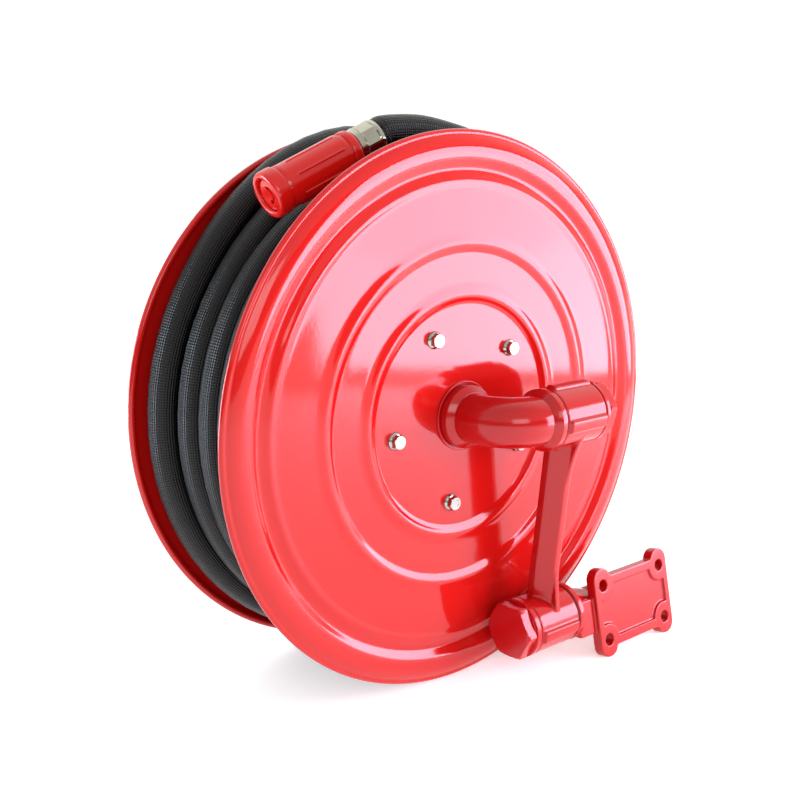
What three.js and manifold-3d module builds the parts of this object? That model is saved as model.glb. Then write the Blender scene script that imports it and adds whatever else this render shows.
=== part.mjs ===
// Swinging fire hose reel: two pressed steel discs on a bolted drum core, carried on a hollow spindle
// by an elbow, a waterway swing arm and a wall bracket, with 25 mm hose and a twist nozzle.
// Working frame in millimetres: origin at the centre of the front disc's rim plane, +Y into the drum,
// +X towards the swing arm, +Z up. The group is shifted so that the floor is z = 0.
import * as THREE from "three";
import { mergeVertices } from "three/addons/utils/BufferGeometryUtils.js";
import Module from "manifold-3d";

const wasm = await Module();
wasm.setup();

// Facets round a turned piece.
const BIG = 36;
const MID = 20;
const SMALL = 12;
const HEX = 6;
const WELD = 1e-3;
const GAP = 0.3;

// Discs and drum core.
const DISC_R = 280;
const DRUM_WIDTH = 172;
const SHEET = 1.5;
const HUB_HOLE_R = 30.5;
const CORE_R = 116;
const CORE_GAP = 0.2;
const BOLT_COUNT = 5;
const BOLT_CIRCLE_R = 89.3;
const BOLT_FIRST_DEG = 44;
const BOLT_HOLE_R = 4.4;
const BOLT_SHANK_R = 4;
const BOLT_FLANGE_R = 8.6;
const BOLT_HEAD_R = 7.5;
const BOLT_HEAD_H = 8;

// Hub and spindle.
const SPINDLE_R = 18;
const SPINDLE_BORE_R = 10;
const HUB_R = 30;
const HUB_BORE_R = 20.5;
const HUB_FLANGE_R = 100;
const HUB_FLANGE_T = 4;
const OUTLET_Y = 86;
const OUTLET_BOSS_R = 17;
const OUTLET_BOSS_TOP = 62;
const PORT_R = 8;

// Swivels: both axes run along X.
const UPPER_AXIS = new THREE.Vector3(0, -66, 0);
const LOWER_AXIS = new THREE.Vector3(0, -40, -229);
const BARREL_X0 = 51;
const BARREL_X1 = 109;
const BARREL_R = 31;
const BARREL_BORE_R = 20;
const JOURNAL_R = 19.6;
const WATERWAY_R = 12.5;
const RING_R = 31.5;
const CAP_HEX_R = 31.2;
const UPPER_HEX_DEG = 14;
const LOWER_HEX_DEG = 1.5;
const WASHER_T = 0.8;
const RIB_H = 3.2;
const RIB_HALF = 6;
const RIB_TOP_HALF = 4;

// Swing arm.
const ARM_X = 80;
const ARM_LENGTH = UPPER_AXIS.distanceTo(LOWER_AXIS);
const ARM_LEAN = Math.atan2(LOWER_AXIS.y - UPPER_AXIS.y, UPPER_AXIS.z - LOWER_AXIS.z);
const ARM_BORE_R = 9;
const GUSSET_T = 6;

// Inlet elbow.
const PIPE_R = 25.2;
const BEND_R = 40;
const COLLAR_R = 32;
const COLLAR_BACK = -1;
const COLLAR_FRONT = -10.9;
const COLLAR_TOE = -15.7;

// Wall bracket.
const PLATE_CENTRE = new THREE.Vector3(204, -70, -232.4);
const PLATE_TILT = THREE.MathUtils.degToRad(-11.8);
const PLATE_T = 12;
const PLATE_HALF_W = 63;
const PLATE_HALF_H = 39;
const EAR_HALF_H = 49;
const EAR_R = 13;
const PLATE_HOLE_X = 49;
const PLATE_HOLE_Z = 30;
const PLATE_HOLE_R = 6.5;
const PLATE_BOSS_R = 17;
const POCKET_HALF_W = 55;
const POCKET_HALF_H = 29;
const POCKET_D = 3;
const SPIGOT_R = 16.6;
const SPIGOT_END = 258;
const FOOT_Z = -279.8;

// Hose and nozzle.
const HOSE_R = 16.5;
const COIL_IN_R = 117.5;
const COIL_FRONT_R = 216;
const COIL_STEP_Y = 38;
const COIL_CHAMFER = 9;
const COIL_OUT_R = 249;
const COIL_TOP_R = 269;
const COIL_Y0 = 2.8;
const COIL_Y1 = 169;
const TOP_TURN_R = 252.5;
const TOP_TURN_Y = 150;
const TOP_TURN_RISE = 19;
const TOP_TURN_DEGS = [60, 97, 150];
const TAIL_R = 233.9;
const TAIL_Y = 19.4;
const TAIL_LIFT = 40;
const TAIL_SHIFT = 31;
const TAIL_START_DEG = -60;
const TAIL_LIFT_DEG = -20;
const TAIL_LIFT_SPAN = 109;
const TAIL_END_DEG = 84;
const TAIL_CREST = new THREE.Vector3(-14, 49, 277);
const NOZZLE_REAR = new THREE.Vector3(-92, 57, 259.7);
const NOZZLE_DIR = new THREE.Vector3(-92, 8, -41.5).normalize();
const NOZZLE_L = 101;
const FERRULE_L = 28;
const FERRULE_R = 18.6;
const STEM_R = 12;

const FINISH = {
  red: { color: 0xd9302a, roughness: 0.32, metalness: 0 },
  black: { color: 0x1b1c1f, roughness: 0.6, metalness: 0 },
  rubber: { color: 0x141416, roughness: 0.8, metalness: 0 },
  zinc: { color: 0xc4c8cc, roughness: 0.3, metalness: 1 },
  steel: { color: 0x9a9da0, roughness: 0.35, metalness: 1 },
  brass: { color: 0xb5925a, roughness: 0.35, metalness: 1 },
  nylon: { color: 0xe4e0d4, roughness: 0.5, metalness: 0 },
};

// A three.js geometry as a manifold solid facing out.
function solid(geometry) {
  const flat = geometry.index ? geometry.toNonIndexed() : geometry;
  const bare = new THREE.BufferGeometry();
  bare.setAttribute("position", flat.getAttribute("position"));
  const welded = mergeVertices(bare, WELD);
  const faces = [];
  const index = welded.index.array;
  for (let i = 0; i < index.length; i += 3) {
    const [a, b, c] = [index[i], index[i + 1], index[i + 2]];
    if (a !== b && b !== c && c !== a) faces.push([a, b, c]);
  }
  const build = (list) =>
    new wasm.Manifold(
      new wasm.Mesh({
        numProp: 3,
        vertProperties: welded.attributes.position.array,
        triVerts: new Uint32Array(list.flat()),
      }),
    );
  const made = build(faces);
  return made.volume() < 0 ? build(faces.map(([a, b, c]) => [a, c, b])) : made;
}

// The rotation that carries +Y onto a direction, keeping facet phase predictable for X and Y.
function turnTo(direction) {
  return new THREE.Quaternion().setFromUnitVectors(new THREE.Vector3(0, 1, 0), direction);
}

const ALONG_X = new THREE.Vector3(1, 0, 0);
const ALONG_Y = new THREE.Vector3(0, 1, 0);
const ALONG_Z = new THREE.Vector3(0, 0, 1);

// A profile of [radius, height] turned about a line; mid-facet radius is the stated one.
function turned(profile, facets, direction = ALONG_Y, origin = new THREE.Vector3(), phase = 0) {
  const grow = facets === HEX ? 1 : 1 / Math.cos(Math.PI / facets);
  const closed = profile[0][0] === 0 ? profile : [...profile, profile[0]];
  const points = closed.map(([r, h]) => new THREE.Vector2(r * grow, h));
  const start = facets === HEX ? phase : Math.PI / facets;
  const geometry = new THREE.LatheGeometry(points, facets, start);
  geometry.applyQuaternion(turnTo(direction));
  geometry.translate(origin.x, origin.y, origin.z);
  return solid(geometry);
}

// A plain rod between two heights on a line.
function rod(r, h0, h1, facets, direction, origin, phase) {
  return turned([[0, h0], [r, h0], [r, h1], [0, h1]], facets, direction, origin, phase);
}

// A ring with square section.
function ring(r0, r1, h0, h1, facets, direction, origin) {
  return turned([[r0, h0], [r1, h0], [r1, h1], [r0, h1]], facets, direction, origin);
}

// A seal ring with a hexagonal section, centred at height h.
function sealRing(r, thick, h, direction, origin) {
  const section = [];
  for (let i = 0; i < HEX; i++) {
    const a = (i * Math.PI) / 3;
    section.push([r + thick * Math.cos(a), h + thick * Math.sin(a)]);
  }
  return turned(section, MID, direction, origin);
}

// A block given by its two corners.
function block(x0, x1, y0, y1, z0, z1) {
  const geometry = new THREE.BoxGeometry(x1 - x0, y1 - y0, z1 - z0);
  geometry.translate((x0 + x1) / 2, (y0 + y1) / 2, (z0 + z1) / 2);
  return solid(geometry);
}

// A tube along a smooth path.
function sweep(points, r, facets, steps) {
  const shape = new THREE.Shape();
  for (let i = 0; i < facets; i++) {
    const a = (2 * Math.PI * i) / facets;
    const [x, y] = [r * Math.cos(a), r * Math.sin(a)];
    if (i === 0) shape.moveTo(x, y);
    else shape.lineTo(x, y);
  }
  const path = new THREE.CatmullRomCurve3(points, false, "centripetal");
  return solid(new THREE.ExtrudeGeometry(shape, { steps, bevelEnabled: false, extrudePath: path }));
}

// An outline in the X-Z plane made into a plate from y = 0 back to y = depth.
function plateOf(shape, depth) {
  const geometry = new THREE.ExtrudeGeometry(shape, { depth, bevelEnabled: false, curveSegments: 6 });
  geometry.rotateX(Math.PI / 2);
  geometry.translate(0, depth, 0);
  return solid(geometry);
}

// A polygon of [y, z] points given thickness about a plane of constant x.
function webOf(points, x, thick) {
  const shape = new THREE.Shape(points.map(([y, z]) => new THREE.Vector2(y, z)));
  const geometry = new THREE.ExtrudeGeometry(shape, { depth: thick, bevelEnabled: false });
  geometry.applyMatrix4(new THREE.Matrix4().makeBasis(ALONG_Y, ALONG_Z, ALONG_X));
  geometry.translate(x - thick / 2, 0, 0);
  return solid(geometry);
}

function join(first, ...others) {
  return others.reduce((sum, next) => sum.add(next), first);
}

function cut(first, ...others) {
  return others.reduce((sum, next) => sum.subtract(next), first);
}

// A solid turned about the X axis and then moved.
function place(body, angle, offset) {
  return body.rotate([THREE.MathUtils.radToDeg(angle), 0, 0]).translate([offset.x, offset.y, offset.z]);
}

const reel = new THREE.Group();
reel.name = "fire_hose_reel";

function add(name, body, finish) {
  const mesh = body.getMesh();
  const geometry = new THREE.BufferGeometry();
  geometry.setAttribute("position", new THREE.BufferAttribute(mesh.vertProperties.slice(), 3));
  geometry.setIndex(new THREE.BufferAttribute(mesh.triVerts.slice(), 1));
  const flat = geometry.toNonIndexed();
  flat.computeVertexNormals();
  const node = new THREE.Mesh(flat, new THREE.MeshStandardMaterial(FINISH[finish]));
  node.name = name;
  reel.add(node);
}

// Angular place of each bolt, counted from +X towards +Z.
const boltAngles = [];
for (let i = 0; i < BOLT_COUNT; i++) {
  boltAngles.push(THREE.MathUtils.degToRad(BOLT_FIRST_DEG + (360 / BOLT_COUNT) * i));
}
const boltAt = (a) => new THREE.Vector3(BOLT_CIRCLE_R * Math.cos(a), 0, BOLT_CIRCLE_R * Math.sin(a));
const boltHoles = (y0, y1) =>
  boltAngles.map((a) => rod(BOLT_HOLE_R, y0, y1, SMALL, ALONG_Y, boltAt(a)));

// A profile given from the front face, used as it stands or mirrored to the rear of the drum.
const mirrored = (profile) => profile.map(([r, y]) => [r, DRUM_WIDTH - y]);

// Pressed disc: flat centre panel, two raised rings, a shallow cone, and a crowned lip with a rolled edge.
const discOuter = [
  [HUB_HOLE_R, -1],
  [111, -1],
  [120, -4.2],
  [134, -2.4],
  [163, -2.4],
  [173, -5],
  [184, -3.4],
  [242, 0],
  [255, -4.8],
  [267, -4.8],
  [277, -0.8],
  [DISC_R, 2.5],
  [277, 6],
];
const discInner = [
  [272.5, 0.5],
  [260, -3.3],
  [242, SHEET],
  [184, -1.9],
  [173, -3.4],
  [163, -0.9],
  [134, -0.9],
  [121, -2.7],
  [112, SHEET - 1],
  [HUB_HOLE_R, SHEET - 1],
];
const discProfile = [...discOuter, ...discInner];
add("front_disc", cut(turned(discProfile, BIG), ...boltHoles(-10, 10)), "red");
add(
  "rear_disc",
  cut(turned(mirrored(discProfile), BIG), ...boltHoles(DRUM_WIDTH - 10, DRUM_WIDTH + 10)),
  "red",
);

// Drum core: two flanged cups that meet at mid-width.
const cupBack = SHEET - 1 + CORE_GAP + 0.1;
const cupProfile = [
  [HUB_HOLE_R, cupBack],
  [CORE_R, cupBack],
  [CORE_R, DRUM_WIDTH / 2 - CORE_GAP],
  [CORE_R - SHEET, DRUM_WIDTH / 2 - CORE_GAP],
  [CORE_R - SHEET, cupBack + SHEET],
  [HUB_HOLE_R, cupBack + SHEET],
];
const outletWindow = block(-62, 24, OUTLET_Y - 18, OUTLET_Y + 18, 84, 160);
add("core_front", cut(turned(cupProfile, BIG), outletWindow, ...boltHoles(-10, 20)), "red");
add("core_rear", cut(turned(mirrored(cupProfile), BIG), outletWindow, ...boltHoles(150, 180)), "red");

// Hub: bored tube with a front flange and a branch for the hose outlet.
const flangeY0 = cupBack + SHEET + GAP;
const flangeY1 = flangeY0 + HUB_FLANGE_T;
const outletAxis = new THREE.Vector3(0, OUTLET_Y, 0);
const hub = join(
  rod(HUB_R, -0.6, DRUM_WIDTH - 0.5, MID, ALONG_Y),
  rod(HUB_FLANGE_R, flangeY0, flangeY1, BIG, ALONG_Y),
  rod(OUTLET_BOSS_R, 10, OUTLET_BOSS_TOP, SMALL, ALONG_Z, outletAxis),
);
add(
  "hub_body",
  cut(
    hub,
    rod(HUB_BORE_R, -20, DRUM_WIDTH + 20, MID, ALONG_Y),
    rod(SPINDLE_BORE_R, 10, OUTLET_BOSS_TOP + 5, SMALL, ALONG_Z, outletAxis),
    ...boltHoles(-10, 20),
  ),
  "zinc",
);
add(
  "rear_hub_flange",
  cut(
    ring(HUB_R + GAP + 0.3, HUB_FLANGE_R, DRUM_WIDTH - flangeY1, DRUM_WIDTH - flangeY0, BIG),
    ...boltHoles(150, 180),
  ),
  "zinc",
);

// Hex flange bolts, five a side, screwed into the hub flanges.
function bolt(a, side) {
  const seat = side > 0 ? -1 - GAP : DRUM_WIDTH + 1 + GAP;
  const direction = new THREE.Vector3(0, -side, 0);
  const foot = boltAt(a).setY(seat);
  const flange = [
    [0, 0],
    [BOLT_FLANGE_R, 0],
    [BOLT_FLANGE_R, 1.4],
    [BOLT_HEAD_R, 2.6],
    [0, 2.6],
  ];
  return join(
    turned(flange, SMALL, direction, foot),
    rod(BOLT_HEAD_R, 1, BOLT_HEAD_H, HEX, direction, foot, a),
    rod(BOLT_SHANK_R, -12, 1, SMALL, direction, foot),
  );
}
boltAngles.forEach((a, i) => {
  add("front_bolt_" + (i + 1), bolt(a, 1), "zinc");
  add("rear_bolt_" + (i + 1), bolt(a, -1), "zinc");
});

// Stationary spindle with a blind bore, cross ports, seal grooves and a circlip groove.
const seal1 = OUTLET_Y - 12;
const seal2 = OUTLET_Y + 11;
const grooveR = SPINDLE_R - 2;
const sealGroove = (y) => ring(grooveR, SPINDLE_R + 5, y - 2, y + 2, MID);
const clipY = DRUM_WIDTH + 2;
add(
  "hub_spindle",
  cut(
    turned(
      [
        [SPINDLE_BORE_R, -13.4],
        [SPINDLE_R, -13.4],
        [SPINDLE_R, DRUM_WIDTH + 6],
        [0, DRUM_WIDTH + 6],
        [0, OUTLET_Y + 14],
        [SPINDLE_BORE_R, OUTLET_Y + 14],
      ],
      MID,
    ),
    sealGroove(seal1),
    sealGroove(seal2),
    ring(grooveR, SPINDLE_R + 5, clipY, clipY + 2, MID),
    rod(PORT_R, -30, 30, SMALL, ALONG_Z, outletAxis),
  ),
  "brass",
);
add("spindle_o_ring_front", sealRing(18.2, 1.7, seal1, ALONG_Y), "rubber");
add("spindle_o_ring_rear", sealRing(18.2, 1.7, seal2, ALONG_Y), "rubber");
add("front_bush", ring(SPINDLE_R + GAP, HUB_BORE_R - GAP, 1, 25, MID), "nylon");
add("rear_bush", ring(SPINDLE_R + GAP, HUB_BORE_R - GAP, 147.5, 170, MID), "nylon");
add("rear_thrust_washer", ring(SPINDLE_R + GAP, 28, DRUM_WIDTH - 0.2, clipY - GAP, MID), "nylon");
add("spindle_circlip", ring(grooveR + GAP, 22, clipY + 0.2, clipY + 1.8, MID), "steel");

// Rear hub cap, a shallow domed cover, and the front dust ring.
add(
  "rear_hub_cap",
  turned(
    [
      [0, 187],
      [26, 186],
      [35, 181],
      [37, 175.5],
      [44, 174.8],
      [44, DRUM_WIDTH + 1 + GAP],
      [34, DRUM_WIDTH + 1 + GAP],
      [33, 180],
      [25, 184],
      [0, 184.6],
    ],
    MID,
  ),
  "red",
);
add("front_dust_ring", ring(COLLAR_R + 0.7, 35.4, -3, -1 - GAP, BIG), "rubber");

// Hose outlet elbow and its clamp, inside the drum core window.
const OUTLET_BEND_R = 45;
const outletRise = CORE_R + 17 - OUTLET_BEND_R;
const outletCore = [new THREE.Vector3(0, OUTLET_Y, OUTLET_BOSS_TOP + GAP)];
for (let i = 0; i <= 6; i++) {
  const a = (i * Math.PI) / 12;
  const [x, z] = [-OUTLET_BEND_R * (1 - Math.cos(a)), outletRise + OUTLET_BEND_R * Math.sin(a)];
  outletCore.push(new THREE.Vector3(x, OUTLET_Y, z));
}
const outletTip = outletRise + OUTLET_BEND_R;
outletCore.push(new THREE.Vector3(-52, OUTLET_Y, outletTip));
const outletBore = [
  new THREE.Vector3(0, OUTLET_Y, 55),
  ...outletCore.slice(1, -1),
  new THREE.Vector3(-58, OUTLET_Y, outletTip),
];
const OUTLET_PIPE_R = 12.5;
const clampAt = new THREE.Vector3(0, OUTLET_Y, outletTip);
add(
  "outlet_elbow",
  cut(sweep(outletCore, OUTLET_PIPE_R, 12, 10), sweep(outletBore, SPINDLE_BORE_R - 0.5, 8, 10)),
  "brass",
);
add("hose_clamp", ring(15.3, 16.7, -50, -40, MID, ALONG_X, clampAt), "steel");

// Inlet elbow: collar, bend, ring flange and the upper journal in one casting.
const bend = [new THREE.Vector3(0, COLLAR_FRONT + 4, 0)];
for (let i = 0; i <= 6; i++) {
  const a = (i * Math.PI) / 12;
  const [x, y] = [BEND_R * (1 - Math.cos(a)), UPPER_AXIS.y + BEND_R * (1 - Math.sin(a))];
  bend.push(new THREE.Vector3(x, y, 0));
}
bend.push(new THREE.Vector3(BEND_R + 5, UPPER_AXIS.y, 0));
const bore = [new THREE.Vector3(0, -16, 0), ...bend.slice(1, -1), new THREE.Vector3(60, UPPER_AXIS.y, 0)];
const journalEnd = BARREL_X1 - 0.2;
const flangeFace = BARREL_X0 - WASHER_T - 2 * GAP;
const upperPort = place(rod(PORT_R, -30, 0, SMALL, ALONG_Z), ARM_LEAN, UPPER_AXIS).translate([ARM_X, 0, 0]);
const GROOVE_D = 2.4;
const GROOVE_HALF_W = 1.8;
const journalGroove = (x, origin) =>
  ring(JOURNAL_R - GROOVE_D, JOURNAL_R + 4, x - GROOVE_HALF_W, x + GROOVE_HALF_W, MID, ALONG_X, origin);
const SEAL_X = [62, 98];
const collarProfile = [
  [0, COLLAR_BACK],
  [COLLAR_R, COLLAR_BACK],
  [COLLAR_R, COLLAR_FRONT],
  [PIPE_R, COLLAR_TOE],
  [0, COLLAR_TOE],
];
const elbowFlange = [
  [0, 36],
  [PIPE_R, 36],
  [RING_R, 43],
  [RING_R, flangeFace],
  [0, flangeFace],
];
add(
  "inlet_elbow",
  cut(
    join(
      turned(collarProfile, MID),
      sweep(bend, PIPE_R, MID, 9),
      turned(elbowFlange, MID, ALONG_X, UPPER_AXIS),
      rod(JOURNAL_R, 40, journalEnd, MID, ALONG_X, UPPER_AXIS),
    ),
    rod(SPINDLE_R + GAP, -13.8, 5, MID, ALONG_Y),
    rod(WATERWAY_R, -26, -12, SMALL, ALONG_Y),
    sweep(bore, WATERWAY_R - 0.4, 10, 9),
    rod(WATERWAY_R, 46, 120, SMALL, ALONG_X, UPPER_AXIS),
    upperPort,
    ...SEAL_X.map((x) => journalGroove(x, UPPER_AXIS)),
  ),
  "red",
);

// Swing arm, built upright from the upper axis and then leaned: two barrels, a hollow bar, webs and ribs.
function barrelRib(angle) {
  const section = [
    [-BARREL_R + 2, -RIB_HALF],
    [-BARREL_R - RIB_H, -RIB_TOP_HALF],
    [-BARREL_R - RIB_H, RIB_TOP_HALF],
    [-BARREL_R + 2, RIB_HALF],
  ];
  const length = BARREL_X1 - BARREL_X0;
  return place(webOf(section, (BARREL_X0 + BARREL_X1) / 2, length), -angle, new THREE.Vector3());
}
const armFoot = new THREE.Vector3(0, 0, -ARM_LENGTH);
const barrel = rod(BARREL_R, BARREL_X0, BARREL_X1, MID, ALONG_X);
const barrelBore = rod(BARREL_BORE_R, BARREL_X0 - 5, BARREL_X1 + 5, MID, ALONG_X);
const down = (body) => body.translate([0, 0, armFoot.z]);
const barShape = new THREE.Shape(
  [
    [4, -14.6],
    [15, 1],
    [15, 9.3],
    [4, 16],
    [-4, 16],
    [-15, 9.3],
    [-15, 1],
    [-4, -14.6],
  ].map(([x, y]) => new THREE.Vector2(x + ARM_X, y)),
);
const barGeometry = new THREE.ExtrudeGeometry(barShape, { depth: ARM_LENGTH - 48, bevelEnabled: false });
barGeometry.translate(0, 0, -ARM_LENGTH + 24);
const topGusset = webOf([[0, -12], [-26, -17], [-18.5, -44], [-14, -75], [0, -75]], ARM_X, GUSSET_T);
const footGusset = webOf([[0, -160], [-14, -160], [-25, -213], [-16, -222], [0, -222]], ARM_X, GUSSET_T);
const quarter = Math.PI / 2;
add(
  "swing_arm",
  place(
    cut(
      join(
        barrel,
        down(barrel),
        solid(barGeometry),
        topGusset,
        footGusset,
        barrelRib(0),
        barrelRib(quarter),
        barrelRib(-quarter),
        down(barrelRib(0)),
        down(barrelRib(-quarter)),
      ),
      barrelBore,
      down(barrelBore),
      rod(ARM_BORE_R, -ARM_LENGTH, 0, SMALL, ALONG_Z, new THREE.Vector3(ARM_X, 0, 0)),
    ),
    ARM_LEAN,
    UPPER_AXIS,
  ),
  "red",
);

// Screwed hex caps that close and retain the journals.
function hexCap(face, toward, ringLength, hexLength, origin, degrees) {
  const direction = new THREE.Vector3(toward, 0, 0);
  const foot = origin.clone().setX(face);
  const phase = Math.PI / 2 - toward * THREE.MathUtils.degToRad(degrees);
  return join(
    rod(RING_R - 0.3, 0, ringLength, MID, direction, foot),
    rod(CAP_HEX_R, ringLength - 1, ringLength + hexLength, HEX, direction, foot, phase),
    rod(WATERWAY_R - GAP - 0.2, -15, 1, SMALL, direction, foot),
  );
}
add("upper_hex_cap", hexCap(BARREL_X1 + GAP, 1, 7, 10.5, UPPER_AXIS, UPPER_HEX_DEG), "red");
add("lower_hex_cap", hexCap(BARREL_X0 - GAP, -1, 8, 11, LOWER_AXIS, LOWER_HEX_DEG), "red");

// Wall bracket: lower journal, ring flange, inlet spigot, neck and slotted plate in one casting.
const bracketFace = BARREL_X1 + WASHER_T + 2 * GAP;
const plate = new THREE.Shape();
const earIn = PLATE_HOLE_X - Math.sqrt(EAR_R ** 2 - (PLATE_HALF_H - EAR_HALF_H + EAR_R) ** 2);
const corners = [
  [1, 1],
  [-1, 1],
  [-1, -1],
  [1, -1],
];
corners.forEach(([sx, sz], i) => {
  const outer = new THREE.Vector2(sx * (PLATE_HALF_W - EAR_R), sz * (EAR_HALF_H - EAR_R));
  const arc = [];
  for (let k = 0; k <= 5; k++) {
    const a = (k * Math.PI) / 10;
    arc.push([outer.x + sx * EAR_R * Math.cos(a), outer.y + sz * EAR_R * Math.sin(a)]);
  }
  for (let k = 1; k <= 3; k++) {
    const a = Math.PI / 2 + (k * Math.PI) / 7;
    arc.push([outer.x - sx + sx * EAR_R * Math.cos(a), outer.y + sz * EAR_R * Math.sin(a)]);
  }
  arc.push([sx * earIn, sz * PLATE_HALF_H]);
  if (i % 2) arc.reverse();
  arc.forEach(([x, z], k) => {
    if (i === 0 && k === 0) plate.moveTo(x, z);
    else plate.lineTo(x, z);
  });
});
const plateHoleAt = corners.map(([sx, sz]) => new THREE.Vector3(sx * PLATE_HOLE_X, 0, sz * PLATE_HOLE_Z));
const pocket = cut(
  block(-POCKET_HALF_W, POCKET_HALF_W, -5, POCKET_D, -POCKET_HALF_H, POCKET_HALF_H),
  ...plateHoleAt.map((p) => rod(PLATE_BOSS_R, -6, POCKET_D + 1, MID, ALONG_Y, p)),
);
const wallPlate = cut(
  plateOf(plate, PLATE_T),
  pocket,
  ...plateHoleAt.map((p) => rod(PLATE_HOLE_R, -1, PLATE_T + 1, SMALL, ALONG_Y, p)),
);
const neck = block(-90, -46, 4, 26, -20, 20);
const lowerPort = place(rod(PORT_R, 0, 30, SMALL, ALONG_Z), ARM_LEAN, LOWER_AXIS).translate([ARM_X, 0, 0]);
add(
  "wall_bracket",
  cut(
    join(
      turned(
        [
          [0, BARREL_X0 + 0.2],
          [JOURNAL_R, BARREL_X0 + 0.2],
          [JOURNAL_R, bracketFace],
          [RING_R, bracketFace],
          [RING_R, 118],
          [25, 119],
          [SPIGOT_R, 150],
          [SPIGOT_R, SPIGOT_END],
          [0, SPIGOT_END],
        ],
        MID,
        ALONG_X,
        LOWER_AXIS,
      ),
      place(join(wallPlate, neck), PLATE_TILT, PLATE_CENTRE),
    ),
    rod(WATERWAY_R, 40, SPIGOT_END + 5, SMALL, ALONG_X, LOWER_AXIS),
    lowerPort,
    ...SEAL_X.map((x) => journalGroove(x, LOWER_AXIS)),
    block(100, 300, -200, 100, FOOT_Z - 30, FOOT_Z),
  ),
  "red",
);

// Swivel washers and seals.
const thrustWasher = (x, origin) => ring(20, 30, x, x + WASHER_T, MID, ALONG_X, origin);
add("upper_thrust_washer", thrustWasher(BARREL_X0 - WASHER_T - GAP, UPPER_AXIS), "nylon");
add("lower_thrust_washer", thrustWasher(BARREL_X1 + GAP, LOWER_AXIS), "nylon");
const swivelSeal = (x, origin) => sealRing(18.6, 1.1, x, ALONG_X, origin);
add("upper_o_ring_left", swivelSeal(SEAL_X[0], UPPER_AXIS), "rubber");
add("upper_o_ring_right", swivelSeal(SEAL_X[1], UPPER_AXIS), "rubber");
add("lower_o_ring_left", swivelSeal(SEAL_X[0], LOWER_AXIS), "rubber");
add("lower_o_ring_right", swivelSeal(SEAL_X[1], LOWER_AXIS), "rubber");

// Wound hose as one ring, with its topmost rear turn standing proud and lifting over the rim at the top.
const polar = (r, degrees, y) => {
  const a = THREE.MathUtils.degToRad(degrees);
  return new THREE.Vector3(r * Math.cos(a), y, r * Math.sin(a));
};
const [riseFrom, riseTop, riseTo] = TOP_TURN_DEGS;
const topTurn = [];
for (let degrees = riseFrom; degrees <= riseTo; degrees += 6) {
  const up = THREE.MathUtils.smoothstep(degrees, riseFrom, riseTop);
  const down = THREE.MathUtils.smoothstep(degrees, riseTop, riseTo);
  const rise = up * (1 - down);
  topTurn.push(polar(TOP_TURN_R + TOP_TURN_RISE * rise, degrees, TOP_TURN_Y - 2 * rise));
}
add(
  "hose_coil",
  cut(
    join(
      turned(
        [
          [COIL_IN_R, COIL_Y0],
          [COIL_FRONT_R, COIL_Y0],
          [COIL_FRONT_R, COIL_STEP_Y],
          [COIL_OUT_R - COIL_CHAMFER, COIL_STEP_Y],
          [COIL_OUT_R, COIL_STEP_Y + COIL_CHAMFER],
          [COIL_OUT_R, TOP_TURN_Y - HOSE_R],
          [COIL_TOP_R, TOP_TURN_Y - HOSE_R],
          [COIL_TOP_R, TOP_TURN_Y + HOSE_R],
          [COIL_OUT_R, COIL_Y1],
          [COIL_IN_R, COIL_Y1],
        ],
        BIG,
      ),
      sweep(topTurn, HOSE_R, 10, 14),
    ),
    outletWindow,
  ),
  "black",
);
const along = (s) => NOZZLE_REAR.clone().addScaledVector(NOZZLE_DIR, s);
const ferruleBack = -FERRULE_L - GAP;
// The last turn lies against the front disc, then lifts past the rim at the top and crosses to the nozzle.
const tailPath = [];
for (let degrees = TAIL_START_DEG; degrees <= TAIL_END_DEG; degrees += 8) {
  const t = THREE.MathUtils.clamp((degrees - TAIL_LIFT_DEG) / TAIL_LIFT_SPAN, 0, 1);
  const shift = THREE.MathUtils.smoothstep(degrees, 56, 104);
  tailPath.push(polar(TAIL_R + TAIL_LIFT * t ** 2.8, degrees, TAIL_Y + TAIL_SHIFT * shift));
}
tailPath.push(TAIL_CREST, along(ferruleBack - 12), along(ferruleBack - 3), along(ferruleBack - 1));
add("hose_tail", sweep(tailPath, HOSE_R, 10, 40), "black");

// Ferrule, nozzle stem with its pintle, seal and the twist sleeve, all on the nozzle's own axis.
add(
  "hose_ferrule",
  cut(
    turned(
      [
        [0, ferruleBack],
        [FERRULE_R - 1.5, ferruleBack],
        [FERRULE_R, ferruleBack + 3],
        [FERRULE_R, -3],
        [FERRULE_R - 1.5, -0.4],
        [0, -0.4],
      ],
      12,
      NOZZLE_DIR,
      NOZZLE_REAR,
    ),
    rod(7, ferruleBack - 5, 5, 12, NOZZLE_DIR, NOZZLE_REAR),
    rod(STEM_R + GAP + 0.2, -14, 5, MID, NOZZLE_DIR, NOZZLE_REAR),
  ),
  "zinc",
);
const STEM_FRONT = 88;
const sealS = 40;
add(
  "nozzle_stem",
  cut(
    turned(
      [
        [0, -13],
        [STEM_R, -13],
        [STEM_R, STEM_FRONT - 4],
        [6, STEM_FRONT],
        [6, 91],
        [9, 93],
        [9, 97],
        [0, 98],
      ],
      MID,
      NOZZLE_DIR,
      NOZZLE_REAR,
    ),
    rod(7, -20, 70, 12, NOZZLE_DIR, NOZZLE_REAR),
    ring(STEM_R - 1.8, STEM_R + 4, sealS - 1.6, sealS + 1.6, MID, NOZZLE_DIR, NOZZLE_REAR),
    rod(4, -20, 20, 8, ALONG_Z, along(62)),
  ),
  "brass",
);
add("nozzle_o_ring", sealRing(11.6, 0.9, sealS, NOZZLE_DIR, NOZZLE_REAR), "rubber");
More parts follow.
